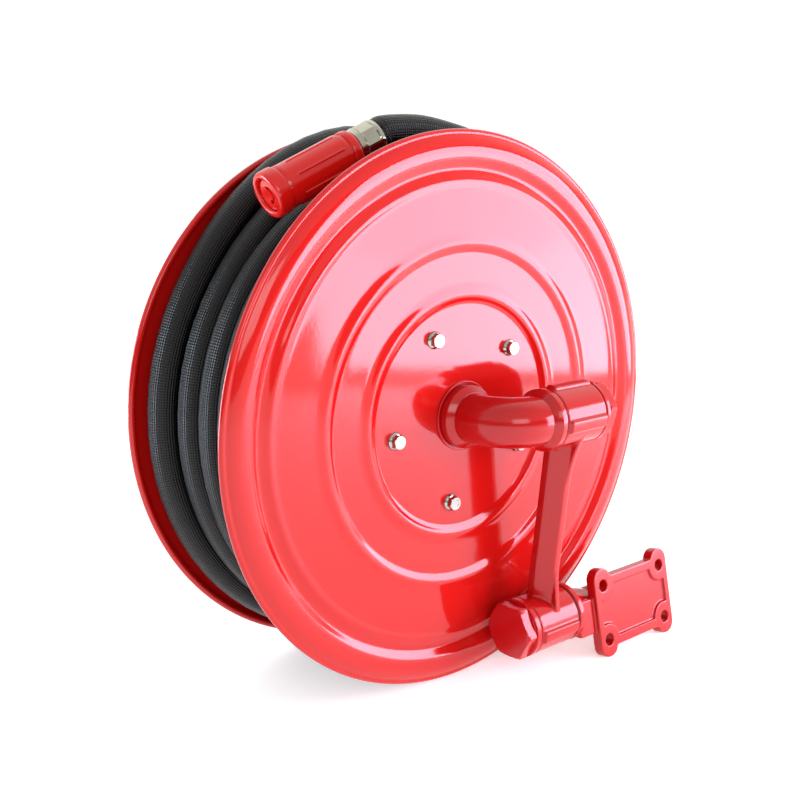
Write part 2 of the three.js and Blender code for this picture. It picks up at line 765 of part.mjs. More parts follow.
add(
  "nozzle_sleeve",
  turned(
    [
      [STEM_R + 0.7, 0],
      [18.5, 0],
      [20.5, 3],
      [20.5, 9],
      [19, 10.5],
      [19, 12.5],
      [20.8, 14],
      [20.8, 80],
      [22.5, 88],
      [22.5, 97],
      [20.5, NOZZLE_L],
      [15.5, NOZZLE_L],
      [15.5, 93],
      [STEM_R + 0.7, 90],
    ],
    MID,
    NOZZLE_DIR,
    NOZZLE_REAR,
  ),
  "red",
);

// Ends of the bounding box along Y decide where the drum stands in the part's own frame.
const FRONT_Y = -100.4;
const REAR_Y = 187;
reel.position.set(0, -(FRONT_Y + REAR_Y) / 2, DISC_R);

export default reel;
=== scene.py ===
"""Visual model of the swinging fire hose reel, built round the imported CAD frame."""
import math

import bmesh
import bpy
from mathutils import Matrix, Vector


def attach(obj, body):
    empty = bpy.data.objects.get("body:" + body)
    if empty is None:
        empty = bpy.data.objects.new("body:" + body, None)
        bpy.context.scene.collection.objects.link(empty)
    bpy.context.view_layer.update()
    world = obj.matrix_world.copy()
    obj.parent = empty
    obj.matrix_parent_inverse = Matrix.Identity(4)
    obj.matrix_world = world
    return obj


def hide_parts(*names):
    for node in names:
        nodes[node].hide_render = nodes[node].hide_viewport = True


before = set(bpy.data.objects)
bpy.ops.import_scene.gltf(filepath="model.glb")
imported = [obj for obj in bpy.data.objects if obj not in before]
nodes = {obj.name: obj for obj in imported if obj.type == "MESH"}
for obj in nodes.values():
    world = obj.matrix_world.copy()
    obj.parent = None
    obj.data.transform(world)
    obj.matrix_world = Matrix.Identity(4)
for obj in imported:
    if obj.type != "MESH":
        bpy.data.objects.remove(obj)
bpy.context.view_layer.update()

# Drawing coordinates are millimetres from the centre of the front rim plane, as in the CAD source.
SHIFT = Vector((0.0, -43.3, 280.0))


def at(x, y, z):
    """A drawing point in the row frame, in metres."""
    return (Vector((x, y, z)) + SHIFT) * 0.001


# ---------------------------------------------------------------- camera
CAM_AZ = -0.7002
CAM_EL = 0.2146
SENSOR_MM = 36.0
LENS_MM = 48.8565
EYE = Vector((-733.11, -773.26, 247.40))
level = math.cos(CAM_EL)
back = Vector((math.sin(CAM_AZ) * level, -math.cos(CAM_AZ) * level, math.sin(CAM_EL)))
right = Vector((math.cos(CAM_AZ), math.sin(CAM_AZ), 0.0))
up = back.cross(right)
cam = bpy.data.objects.new("camera", bpy.data.cameras.new("camera"))
bpy.context.scene.collection.objects.link(cam)
cam.matrix_world = Matrix.Translation(at(*EYE)) @ Matrix((right, up, back)).transposed().to_4x4()
cam.data.sensor_width = SENSOR_MM
cam.data.lens = LENS_MM
cam.data.clip_start = 0.05
cam.data.clip_end = 50.0
bpy.context.scene.camera = cam


# ---------------------------------------------------------------- mesh helpers
def mesh_object(name, verts, faces, smooth=True, metres=False):
    """A mesh object from drawing-coordinate vertices."""
    data = bpy.data.meshes.new(name)
    data.from_pydata([v if metres else at(*v) for v in verts], [], faces)
    data.validate()
    obj = bpy.data.objects.new(name, data)
    bpy.context.scene.collection.objects.link(obj)
    bm = bmesh.new()
    bm.from_mesh(data)
    bmesh.ops.remove_doubles(bm, verts=bm.verts, dist=1e-7)
    bmesh.ops.recalc_face_normals(bm, faces=bm.faces)
    bm.to_mesh(data)
    bm.free()
    for p in data.polygons:
        p.use_smooth = smooth
    return obj


def basis(direction, hint=Vector((0, 0, 1))):
    """Two unit vectors square to a direction, and the direction."""
    d = Vector(direction).normalized()
    if abs(d.dot(hint)) > 0.95:
        hint = Vector((0, 1, 0)) if abs(d.y) < 0.9 else Vector((1, 0, 0))
    u = hint.cross(d).normalized()
    return u, d.cross(u).normalized(), d


NEARLY_STRAIGHT = math.radians(172)


def fillet(profile, radius, steps=3):
    """Rounds the corners of a closed [r, h] profile that lie away from the axis."""
    out = []
    n = len(profile)
    for i, p in enumerate(profile):
        a, b, c = Vector(profile[i - 1]), Vector(p), Vector(profile[(i + 1) % n])
        if b.x < 1e-6 or (b - a).length < 1e-6 or (c - b).length < 1e-6:
            out.append(tuple(b))
            continue
        ua, uc = (a - b).normalized(), (c - b).normalized()
        turn = ua.angle(uc)
        if turn > NEARLY_STRAIGHT:
            out.append(tuple(b))
            continue
        cutback = min(radius / math.tan(turn / 2), 0.45 * (b - a).length, 0.45 * (c - b).length)
        p0, p1 = b + ua * cutback, b + uc * cutback
        for k in range(steps + 1):
            t = k / steps
            q = p0 * (1 - t) ** 2 + b * 2 * t * (1 - t) + p1 * t * t
            out.append(tuple(q))
    return out


def lathe(name, profile, direction, origin, segments, hint=Vector((0, 0, 1)), radial=None):
    """A closed [r, h] profile turned about a line. radial(r, h, angle) may change the radius."""
    u, v, d = basis(direction, hint)
    o = Vector(origin)
    verts, faces = [], []
    n = len(profile)
    for j in range(segments):
        a = 2 * math.pi * j / segments
        spoke = u * math.cos(a) + v * math.sin(a)
        for r, h in profile:
            rr = radial(r, h, a) if radial and r > 1e-6 else r
            verts.append(o + spoke * rr + d * h)
    for j in range(segments):
        k = (j + 1) % segments
        for i in range(n):
            m = (i + 1) % n
            faces.append((j * n + i, k * n + i, k * n + m, j * n + m))
    return mesh_object(name, verts, faces)


def tube(name, points, radius, ring):
    """A round tube along points, with frames carried along the path without twist."""
    pts = [Vector(p) for p in points]
    count = len(pts)
    verts, faces = [], []
    tangent = (pts[1] - pts[0]).normalized()
    u, v, _ = basis(tangent)
    for i, p in enumerate(pts):
        a, b = pts[max(i - 1, 0)], pts[min(i + 1, count - 1)]
        t = (b - a).normalized()
        u = tangent.rotation_difference(t) @ u
        u = (u - t * u.dot(t)).normalized()
        v = t.cross(u)
        tangent = t
        for k in range(ring):
            ang = 2 * math.pi * k / ring
            verts.append(p + (u * math.cos(ang) + v * math.sin(ang)) * radius)
    for i in range(count - 1):
        for k in range(ring):
            m = (k + 1) % ring
            faces.append((i * ring + k, i * ring + m, (i + 1) * ring + m, (i + 1) * ring + k))
    faces.append(tuple(reversed(range(ring))))
    faces.append(tuple(range((count - 1) * ring, count * ring)))
    return mesh_object(name, verts, faces)


def spline(points, per):
    """Catmull-Rom points through the given ones."""
    pts = [Vector(p) for p in points]
    out = []
    for i in range(len(pts) - 1):
        p0, p1, p2, p3 = pts[max(i - 1, 0)], pts[i], pts[i + 1], pts[min(i + 2, len(pts) - 1)]
        for k in range(per):
            t = k / per
            out.append(0.5 * ((2 * p1) + (p2 - p0) * t + (2 * p0 - 5 * p1 + 4 * p2 - p3) * t ** 2
                              + (3 * p1 - p0 - 3 * p2 + p3) * t ** 3))
    out.append(pts[-1])
    return out


def smoothstep(x, a, b):
    """0 up to a, 1 from b, and a smooth rise between."""
    t = min(max((x - a) / (b - a), 0.0), 1.0)
    return t * t * (3 - 2 * t)


def apply_modifiers(obj):
    """Bakes the modifiers into the mesh."""
    bpy.context.view_layer.update()
    dg = bpy.context.evaluated_depsgraph_get()
    fresh = bpy.data.meshes.new_from_object(obj.evaluated_get(dg))
    obj.modifiers.clear()
    obj.data = fresh
    return obj


def boolean(obj, other, operation="DIFFERENCE"):
    """Cuts the other object out of this one, or joins it, and deletes it."""
    mod = obj.modifiers.new("cut", "BOOLEAN")
    mod.operation = operation
    mod.object = other
    mod.solver = "EXACT"
    apply_modifiers(obj)
    bpy.data.objects.remove(other)
    return obj


def mark_sharp(obj, degrees):
    """Keeps hard edges hard on a smooth-shaded mesh."""
    bm = bmesh.new()
    bm.from_mesh(obj.data)
    for e in bm.edges:
        if len(e.link_faces) == 2:
            e.smooth = e.calc_face_angle(0.0) < math.radians(degrees)
    bm.to_mesh(obj.data)
    bm.free()
    return obj


def remesh(obj, voxel, smooth_rounds):
    """One flowing skin over overlapping bodies, for cast and moulded shapes."""
    mod = obj.modifiers.new("remesh", "REMESH")
    mod.mode = "VOXEL"
    mod.voxel_size = voxel * 0.001
    apply_modifiers(obj)
    mod = obj.modifiers.new("smooth", "CORRECTIVE_SMOOTH")
    mod.iterations = smooth_rounds
    mod.use_only_smooth = True
    apply_modifiers(obj)
    for p in obj.data.polygons:
        p.use_smooth = True
    return obj


# ---------------------------------------------------------------- materials
def srgb(r, g, b):
    """Linear RGBA from screen values of 0 to 255."""
    def linear(c):
        if c <= 10.3:
            return c / 255 / 12.92
        return ((c / 255 + 0.055) / 1.055) ** 2.4
    return linear(r), linear(g), linear(b), 1.0


class Mat:
    """A Principled material with small node helpers."""

    def __init__(self, name, colour, rough, metallic=0.0, spec=0.5):
        self.m = bpy.data.materials.new(name)
        self.m.use_nodes = True
        self.n = self.m.node_tree.nodes
        self.l = self.m.node_tree.links
        self.b = self.n["Principled BSDF"]
        self.b.inputs["Base Color"].default_value = srgb(*colour)
        self.b.inputs["Roughness"].default_value = rough
        self.b.inputs["Metallic"].default_value = metallic
        self.b.inputs["Specular IOR Level"].default_value = spec
        self.coords = self.n.new("ShaderNodeTexCoord")

    def noise(self, scale, detail):
        t = self.n.new("ShaderNodeTexNoise")
        t.inputs["Scale"].default_value = scale
        t.inputs["Detail"].default_value = detail
        self.l.new(self.coords.outputs["Object"], t.inputs["Vector"])
        return t.outputs["Fac"]

    def ramp(self, value, stops):
        r = self.n.new("ShaderNodeValToRGB")
        e = r.color_ramp.elements
        while len(e) < len(stops):
            e.new(0.5)
        for k, (pos, colour) in enumerate(stops):
            e[k].position = pos
            e[k].color = srgb(*colour)
        self.l.new(value, r.inputs["Fac"])
        return r.outputs["Color"]

    def span(self, value, low, high):
        r = self.n.new("ShaderNodeMapRange")
        r.inputs["To Min"].default_value = low
        r.inputs["To Max"].default_value = high
        self.l.new(value, r.inputs["Value"])
        return r.outputs["Result"]

    def math(self, op, a, b=0.0):
        m = self.n.new("ShaderNodeMath")
        m.operation = op
        for k, v in enumerate((a, b)):
            if isinstance(v, (int, float)):
                m.inputs[k].default_value = v
            else:
                self.l.new(v, m.inputs[k])
        return m.outputs[0]

    def colour(self, socket):
        self.l.new(socket, self.b.inputs["Base Color"])

    def roughness(self, socket):
        self.l.new(socket, self.b.inputs["Roughness"])

    def bump(self, socket, strength, distance):
        b = self.n.new("ShaderNodeBump")
        b.inputs["Strength"].default_value = strength
        b.inputs["Distance"].default_value = distance
        self.l.new(socket, b.inputs["Height"])
        self.l.new(b.outputs["Normal"], self.b.inputs["Normal"])


def red_paint(name, colour, dark, rough, peel):
    """Glossy red with a faint tone change and orange peel."""
    mat = Mat(name, colour, rough)
    mat.colour(mat.ramp(mat.noise(9, 4), [(0.3, dark), (0.7, colour)]))
    mat.roughness(mat.span(mat.noise(30, 3), rough - 0.02, rough + 0.02))
    mat.bump(mat.noise(peel, 2), 0.06, 0.0003)
    return mat.m


def metal(name, colour, dark, rough, grain):
    """A plated or turned metal with a fine grain."""
    mat = Mat(name, colour, rough, metallic=1.0)
    mat.colour(mat.ramp(mat.noise(40, 4), [(0.3, dark), (0.7, colour)]))
    mat.roughness(mat.span(mat.noise(grain, 3), rough - 0.06, rough + 0.08))
    mat.bump(mat.noise(grain * 2, 2), 0.08, 0.0002)
    return mat.m


def plain(name, dark, pale, rough, blotch, grain):
    """A dull moulded material, for seals and bushes."""
    mat = Mat(name, pale, rough)
    mat.colour(mat.ramp(mat.noise(blotch, 3), [(0.3, dark), (0.7, pale)]))
    mat.bump(mat.noise(grain, 2), 0.1, 0.0002)
    return mat.m


WEAVE_AROUND = 21
WEAVE_LENGTH = 0.005


def hose_rubber():
    """Black rubber with a fine crossed weave that follows the hose by its UV."""
    mat = Mat("hose_rubber", (6, 7, 9), 0.3, spec=0.28)
    uv = mat.n.new("ShaderNodeSeparateXYZ")
    mat.l.new(mat.coords.outputs["UV"], uv.inputs[0])
    around = mat.math("MULTIPLY", uv.outputs["X"], 2 * math.pi * WEAVE_AROUND)
    along = mat.math("MULTIPLY", uv.outputs["Y"], 2 * math.pi / WEAVE_LENGTH)
    rising = mat.math("SINE", mat.math("ADD", around, along))
    falling = mat.math("SINE", mat.math("SUBTRACT", around, along))
    mat.bump(mat.math("MULTIPLY", rising, falling), 0.8, 0.0004)
    mat.roughness(mat.span(mat.noise(60, 4), 0.27, 0.34))
    mat.colour(mat.ramp(mat.noise(14, 5), [(0.3, (5, 6, 7)), (0.75, (9, 10, 13))]))
    return mat.m


SHEET_RED = red_paint("red_sheet_paint", (192, 20, 17), (187, 18, 15), 0.08, 260)
CAST_RED = red_paint("red_moulding", (176, 12, 15), (171, 11, 13), 0.13, 520)
CAP_RED = red_paint("red_cap_moulding", (184, 14, 19), (178, 12, 17), 0.2, 480)
NOZZLE_RED = red_paint("red_nozzle_moulding", (208, 22, 16), (202, 19, 14), 0.14, 420)
HOSE_RUBBER = hose_rubber()
ZINC = metal("bright_zinc", (182, 183, 174), (160, 161, 152), 0.16, 400)
NICKEL = metal("pale_nickel", (186, 184, 168), (168, 165, 148), 0.16, 300)
BRASS = metal("machined_brass", (200, 164, 98), (176, 140, 80), 0.28, 300)
STEEL = metal("plain_steel", (170, 172, 174), (140, 142, 145), 0.3, 350)
SEAL = plain("black_seal", (18, 18, 20), (30, 30, 32), 0.6, 50, 600)
NYLON = plain("natural_nylon", (216, 210, 192), (230, 225, 210), 0.45, 40, 500)


def finish_with(obj, material, slot, body, *replaced):
    """Gives a piece its one material, its body and the nodes it stands for; the slot argument is not used.
    """
    obj.data.materials.clear()
    obj.data.materials.append(material)
    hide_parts(*replaced)
    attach(obj, body)
    return obj


# ---------------------------------------------------------------- hose
HOSE_R = 16.5
HOSE_RING = 24
FERRULE_L = 28.0
NOZZLE_REAR = Vector((-92, 57, 259.7))
NOZZLE_DIR = Vector((-92, 8, -41.5)).normalized()
HOSE_START = (-52.0, 86.0, 133.0)
# Each turn has a radius and a y, and crosses over to the next one between two angles.
CROSS_DEGS = (280.0, 350.0)
LAYERS = ([(133.4, y) for y in (86, 119, 151.5)]
          + [(166.4, y) for y in (151.5, 118.5, 86, 53, 20)]
          + [(199.4, y) for y in (20, 53, 86, 118.5, 151.5)]
          + [(251.5, 149.5), (236.0, 119), (232.5, 85.5), (232.5, 52.5)])
# A turn's number goes up this many degrees before the angle comes round to +X.
TURN_LEAD = 10.0
TURN_STEP = 5.0
START_BLEND = 50
# One turn rises over the top of the drum, and the next one rises a little with it.
TOP_TURN = 13
TOP_TURN_RISE = 19.0
NEXT_TURN_SHARE = 0.6
RISE_DEGS = (60, 97, 150)
RISE_FORWARD = 2
# The free end starts against the front disc, lifts off the coil and moves back towards the nozzle.
LAST_TURN = (232.5, 52)
TAIL_R, TAIL_Y = 233.9, 19.4
TAIL_BLEND = 60
TAIL_STEP = 4.0
TAIL_DEGS = (-16.0, 84)
TAIL_LIFT, TAIL_LIFT_POWER = 40.0, 2.8
LIFT_FROM, LIFT_SPAN = -20, 109
TAIL_SHIFT = 31.0
SHIFT_DEGS = (56, 104)
TAIL_CREST = Vector((-14, 49, 277))
FERRULE_LEAD = 12.3
FERRULE_OVERLAP = 3


def wound_turns(last):
    """Radius, angle and y along the wound turns, up to the angle last."""
    begin = math.degrees(math.atan2(HOSE_START[2], HOSE_START[0]))
    r_begin = math.hypot(HOSE_START[0], HOSE_START[2])
    pts = []
    angle = begin
    while angle < last:
        k = int((angle + TURN_LEAD) // 360.0)
        r, y = LAYERS[k]
        local = angle - 360.0 * k
        if local > CROSS_DEGS[0] and k + 1 < len(LAYERS):
            t = smoothstep(local, *CROSS_DEGS)
            r += (LAYERS[k + 1][0] - r) * t
            y += (LAYERS[k + 1][1] - y) * t
        if k in (TOP_TURN, TOP_TURN + 1):
            low, top, end = RISE_DEGS
            rise = smoothstep(local, low, top) * (1 - smoothstep(local, top, end))
            r += TOP_TURN_RISE * rise * (1.0 if k == TOP_TURN else NEXT_TURN_SHARE)
            y -= RISE_FORWARD * rise
        if k == 0 and angle < begin + START_BLEND:
            r = r_begin + (r - r_begin) * smoothstep(angle, begin, begin + START_BLEND)
        pts.append((r, angle, y))
        angle += TURN_STEP
    return pts


def tail_turn(last):
    """Radius, angle and y along the free end, from the angle last to where it nears the nozzle."""
    pts = []
    angle = last
    while angle < last + TAIL_BLEND + TAIL_STEP:
        t = smoothstep(angle, last, last + TAIL_BLEND)
        pts.append((LAST_TURN[0] + (TAIL_R - LAST_TURN[0]) * t, angle,
                    LAST_TURN[1] + (TAIL_Y - LAST_TURN[1]) * t))
        angle += TAIL_STEP
    deg = TAIL_DEGS[0]
    while deg <= TAIL_DEGS[1]:
        t = min(max((deg - LIFT_FROM) / LIFT_SPAN, 0.0), 1.0)
        shift = smoothstep(deg, *SHIFT_DEGS)
        pts.append((TAIL_R + TAIL_LIFT * t ** TAIL_LIFT_POWER, deg, TAIL_Y + TAIL_SHIFT * shift))
        deg += TAIL_STEP
    return pts


def behind_nozzle(distance):
    """A point on the nozzle's axis, this far behind the rear of its sleeve."""
    return NOZZLE_REAR - NOZZLE_DIR * distance


def hose_route():
    """Centreline of the wound hose and its free end, as drawing points."""
    last = 360.0 * (len(LAYERS) - 1) + CROSS_DEGS[0]
    pts = wound_turns(last) + tail_turn(last)
    route = [Vector((r * math.cos(math.radians(a)), y, r * math.sin(math.radians(a)))) for r, a, y in pts]
    end = [route[-2], route[-1], TAIL_CREST, behind_nozzle(FERRULE_L + FERRULE_LEAD),
           behind_nozzle(FERRULE_L + FERRULE_OVERLAP), behind_nozzle(FERRULE_L - FERRULE_OVERLAP)]
    return route[:-1] + spline(end, 6)[6:]


route = hose_route()
hose = tube("hose", route, HOSE_R, HOSE_RING)
length_so_far = [0.0]
for a, b in zip(route, route[1:]):
    length_so_far.append(length_so_far[-1] + (b - a).length * 0.001)


def hose_uv(obj, ring):
    """UV across and along the tube, from the way its vertices were laid."""
    layer = obj.data.uv_layers.new(name="UVMap")
    final_row = len(route) - 1
    for poly in obj.data.polygons:
        where = [obj.data.loops[i].vertex_index for i in poly.loop_indices]
        rows = [v // ring for v in where]
        cols = [v % ring for v in where]
        wrap = max(cols) - min(cols) > ring / 2
        for li, row, col in zip(poly.loop_indices, rows, cols):
            u = (col + ring if wrap and col < ring / 2 else col) / ring
            layer.data[li].uv = (u, length_so_far[min(row, final_row)])


hose_uv(hose, HOSE_RING)
finish_with(hose, HOSE_RUBBER, "hose", "drum", "hose_coil", "hose_tail")


# ---------------------------------------------------------------- discs
REAR_PLANE = 172.0
SHEET = 1.35
BEAD_R = 3.45
BEAD_CENTRE = (276.55, -2.6)


def disc_profile():
    """Front face from hub hole to lip, the rolled edge, and the inner face back, as [r, height out]."""
    face = [(30.5, 1.0), (70, 1.0), (110, 1.0),
            (112.5, 1.15), (116, 2.2), (119, 3.7), (122, 4.25), (125, 4.0), (129, 3.0), (133, 2.45),
            (137, 2.35), (150, 2.35), (161, 2.35),
            (164, 2.7), (168, 4.2), (171.5, 5.05), (175, 5.0), (179, 4.2), (183, 3.6), (188, 3.35),
            (205, 2.8), (222, 2.3), (226, 2.4), (230, 3.1), (233, 2.9), (237, 1.3), (241, 0.15),
            (244, 0.2), (248, 2.2), (252, 4.2), (257, 5.2), (262, 5.3), (267, 4.4), (271.5, 2.6),
            (274.0, 1.15)]
    dense = [(p.x, p.y) for p in spline([(r, h, 0) for r, h in face], 3)]
    bead = []
    for k in range(15):
        a = math.radians(112 - k * 19)
        bead.append((BEAD_CENTRE[0] + BEAD_R * math.cos(a), BEAD_CENTRE[1] + BEAD_R * math.sin(a)))
    inner = [(r, h - SHEET) for r, h in reversed(face) if r < 272]
    return dense + bead + inner


for name, plane, side in (("front_disc", 0.0, 1), ("rear_disc", REAR_PLANE, -1)):
    disc = lathe(name + "_pressing", disc_profile(), (0, -side, 0), (0, plane, 0), 240, Vector((1, 0, 0)))
    mark_sharp(disc, 50)
    finish_with(disc, SHEET_RED, "red_sheet", "drum", name)


# ---------------------------------------------------------------- bolts
def hexed(apothem, from_h, phase):
    """A radial rule that cuts a round head to a hexagon above a height."""
    def radial(r, h, a):
        if h < from_h:
            return r
        turn = (a - phase) % (math.pi / 3) - math.pi / 6
        return min(r, apothem / math.cos(turn))
    return radial


BOLT_CIRCLE_R = 89.3
BOLT_APOTHEM = 6.5
BOLT_ANGLES = [math.radians(44 + 72 * k) for k in range(5)]
BOLT_PHASES = [0.35, 1.1, 0.2, 0.75, 0.95]
DISHED_BOLTS = (1, 3)


def bolt_head(name, k, seat, side):
    """Flanged hexagon head of one bolt. Two of the five have a dished face."""
    top = [(5.1, 8.0), (4.6, 7.9), (4.2, 7.3), (0, 7.2)] if k in DISHED_BOLTS else [(4.9, 8.0), (0, 8.15)]
    prof = [(0, 0), (8.6, 0), (8.75, 0.5), (8.5, 1.1), (7.8, 1.7), (7.35, 2.3), (7.35, 2.55),
            (7.45, 2.75), (7.45, 6.9), (7.1, 7.45), (6.4, 7.9)] + top
    a = BOLT_ANGLES[k]
    foot = Vector((BOLT_CIRCLE_R * math.cos(a), seat, BOLT_CIRCLE_R * math.sin(a)))
    head = lathe(name, prof, (0, -side, 0), foot, 72, Vector((1, 0, 0)),
                 hexed(BOLT_APOTHEM, 2.5, BOLT_PHASES[k]))
    return mark_sharp(head, 28)


for side, seat, tag in ((1, -1.3, "front"), (-1, 173.3, "rear")):
    for k in range(5):
        bolt = bolt_head(f"{tag}_bolt_head_{k + 1}", k, seat, side)
        finish_with(bolt, ZINC, "zinc", "drum", f"{tag}_bolt_{k + 1}")


# ---------------------------------------------------------------- inlet elbow
UPPER = Vector((0, -66, 0))
LOWER = Vector((0, -40, -229))
X_AXIS = (1, 0, 0)
Y_AXIS = (0, 1, 0)
HUB = (0, 0, 0)
BEND_R = 40
PIPE_R = 25.2

collar_prof = fillet([(0, -1), (32, -1), (32, -10.9), (25.4, -15.9), (0, -15.9)], 1.2)
elbow = lathe("inlet_elbow_moulding", collar_prof, Y_AXIS, HUB, 120)
bend = [Vector((0, -8, 0)), Vector((0, -17, 0))]
for i in range(25):
    a = math.radians(90 * i / 24)
    bend.append(Vector((BEND_R * (1 - math.cos(a)), UPPER.y + BEND_R * (1 - math.sin(a)), 0)))
bend.append(Vector((46, UPPER.y, 0)))
pipe = tube("tmp", bend, PIPE_R, 96)
flange_prof = fillet([(0, 36.5), (PIPE_R, 36.5), (31.4, 43.2), (31.4, 49.6), (0, 49.6)], 1.0)
flange = lathe("tmp", flange_prof, X_AXIS, UPPER, 120)
journal = lathe("tmp", [(0, 45), (19.6, 45), (19.6, 108.8), (0, 108.8)], X_AXIS, UPPER, 64)
for piece in (pipe, flange, journal):
    boolean(elbow, piece, "UNION")
for p in elbow.data.polygons:
    p.use_smooth = True
mark_sharp(elbow, 30)
finish_with(elbow, CAST_RED, "red_casting", "elbow", "inlet_elbow")


# ---------------------------------------------------------------- swing arm
drop = LOWER - UPPER
LEAN = math.atan2(drop.y, -drop.z)
ARM_L = math.hypot(drop.y, drop.z)


def prism(outline, x0, x1):
    """A polygon of [y, z] points given thickness along X."""
    n = len(outline)
    verts = [Vector((x0, y, z)) for y, z in outline] + [Vector((x1, y, z)) for y, z in outline]
    faces = [tuple(range(n)), tuple(reversed(range(n, 2 * n)))]
    faces += [(i, (i + 1) % n, n + (i + 1) % n, n + i) for i in range(n)]
    return verts, faces


def lean(p, angle=LEAN, origin=UPPER):
    """A point drawn in an upright frame, turned about X and moved."""
    c, s = math.cos(angle), math.sin(angle)
    return Vector((p[0], p[1] * c - p[2] * s, p[1] * s + p[2] * c)) + Vector(origin)


def upright(name, verts, faces, angle=LEAN, origin=UPPER):
    """A mesh drawn in an upright frame, turned about X and moved."""
    return mesh_object(name, [lean(v, angle, origin) for v in verts], faces)


RIB_RISE = 3.2
BARREL_SEGMENTS = 180


def barrel(zc, ribs):
    """One swivel barrel with its low ribs, drawn about X at height zc in the arm's frame."""
    def radial(r, h, a):
        grow = 0.0
        if r > 30:
            for centre in ribs:
                d = abs((a - centre + math.pi) % (2 * math.pi) - math.pi)
                grow = max(grow, RIB_RISE * smoothstep(math.radians(13.0) - d, 0, math.radians(3.6)))
            grow *= smoothstep(h, 53.0, 54.6) * (1 - smoothstep(h, 105.4, 107.0))
        return r + grow
    prof = [(20, 51), (29.6, 51), (31, 52.2)]
    prof += [(31, 52.2 + 0.55 * k) for k in range(1, 101)]
    prof += [(31, 107.8), (29.6, 109), (20, 109)]
    verts, faces = [], []
    n = len(prof)
    for j in range(BARREL_SEGMENTS):
        a = 2 * math.pi * j / BARREL_SEGMENTS
        for r, h in prof:
            rr = radial(r, h, a)
            verts.append(Vector((h, -rr * math.cos(a), zc + rr * math.sin(a))))
    for j in range(BARREL_SEGMENTS):
        k = (j + 1) % BARREL_SEGMENTS
        faces += [(j * n + i, k * n + i, k * n + (i + 1) % n, j * n + (i + 1) % n) for i in range(n)]
    return upright("tmp", verts, faces)


QUARTER = math.pi / 2
top_barrel = barrel(0.0, (0.0, QUARTER, -QUARTER))
foot_barrel = barrel(-ARM_L, (0.0, -QUARTER))
BAR_X = 80
BAR = [(4, -14.6), (15, 1), (15, 9.3), (4, 16), (-4, 16), (-15, 9.3), (-15, 1), (-4, -14.6)]
bar_verts = [Vector((BAR_X + x, y, z)) for z in (-22.0, -ARM_L + 22) for x, y in BAR]
bar_faces = [tuple(range(8)), tuple(reversed(range(8, 16)))]
bar_faces += [(i, (i + 1) % 8, 8 + (i + 1) % 8, 8 + i) for i in range(8)]
arm = upright("swing_arm_moulding", bar_verts, bar_faces)
top_web = [(0, -12), (-27.2, -15.5), (-24.0, -24), (-20.0, -38), (-16.8, -54), (-14.2, -76), (0, -76)]
foot_web = [(0, -160), (-14.2, -162), (-17.5, -180), (-21.2, -198), (-24.8, -213.5), (-18, -222), (0, -222)]
for outline in (top_web, foot_web):
    boolean(arm, upright("tmp", *prism(outline, BAR_X - 3, BAR_X + 3)), "UNION")
boolean(arm, top_barrel, "UNION")
boolean(arm, foot_barrel, "UNION")
remesh(arm, 0.9, 3)
finish_with(arm, CAST_RED, "red_casting", "arm", "swing_arm")


# ---------------------------------------------------------------- hex caps
def hex_cap(name, face, toward, ring_len, hex_len, origin, degrees, body, node):
    """Ring, undercut and hexagon with chamfered corners, looking along +X or -X."""
    total = ring_len + hex_len
    foot = Vector(origin) + Vector((face, 0, 0))
    prof = [(12, -14), (12, 0), (30.4, 0), (31.2, 0.8), (31.2, ring_len - 2.4), (30.6, ring_len - 1.6),
            (29.2, ring_len - 1.4), (29.2, ring_len - 0.2), (31.3, ring_len), (31.3, total - 2.2),
            (29.4, total - 0.7), (27.4, total), (25.6, total), (0, total), (0, -14)]
    rad = math.radians(degrees)
    u, v, d = basis((toward, 0, 0))
    corner = Vector((0, -math.cos(rad), math.sin(rad)))
    phase = math.atan2(corner.dot(v), corner.dot(u))
    obj = lathe(name, prof, (toward, 0, 0), foot, 180, radial=hexed(27.05, ring_len - 0.1, phase))
    mark_sharp(obj, 28)
    return finish_with(obj, CAP_RED, "red_cap", body, node)


hex_cap("upper_cap_hex", 109.3, 1, 7.0, 10.5, UPPER, 14.0, "elbow", "upper_hex_cap")
hex_cap("lower_cap_hex", 50.7, -1, 8.0, 11.1, LOWER, 1.5, "bracket", "lower_hex_cap")


# ---------------------------------------------------------------- wall bracket
TILT = math.radians(-11.8)
PLATE_AT = Vector((204, -70, -232.4))
PLATE_THICK = 12.0
HOLE_X, HOLE_Z = 49, 30


def arc_points(x, z, r, degrees):
    """Points on an arc about (x, z)."""
    return [(x + r * math.cos(math.radians(a)), z + r * math.sin(math.radians(a))) for a in degrees]


def plate_outline():
    """Ears at the corners and a straight body between them."""
    pts = []
    for sx, sz in ((1, 1), (-1, 1), (-1, -1), (1, -1)):
        arc = arc_points(50, 36, 13, range(0, 91, 10))
        arc += arc_points(48.6, 36.4, 12.6, range(95, 166, 10))
        arc += [(35.6, 39.4), (33.6, 39)]
        arc = [(sx * x, sz * z) for x, z in arc]
        pts += arc if sx * sz > 0 else arc[::-1]
    return pts


def on_plate(points, x0, x1):
    """A prism of [y, z] points across the plate, in the plate's frame."""
    return upright("tmp", *prism(points, x0, x1), TILT, PLATE_AT)


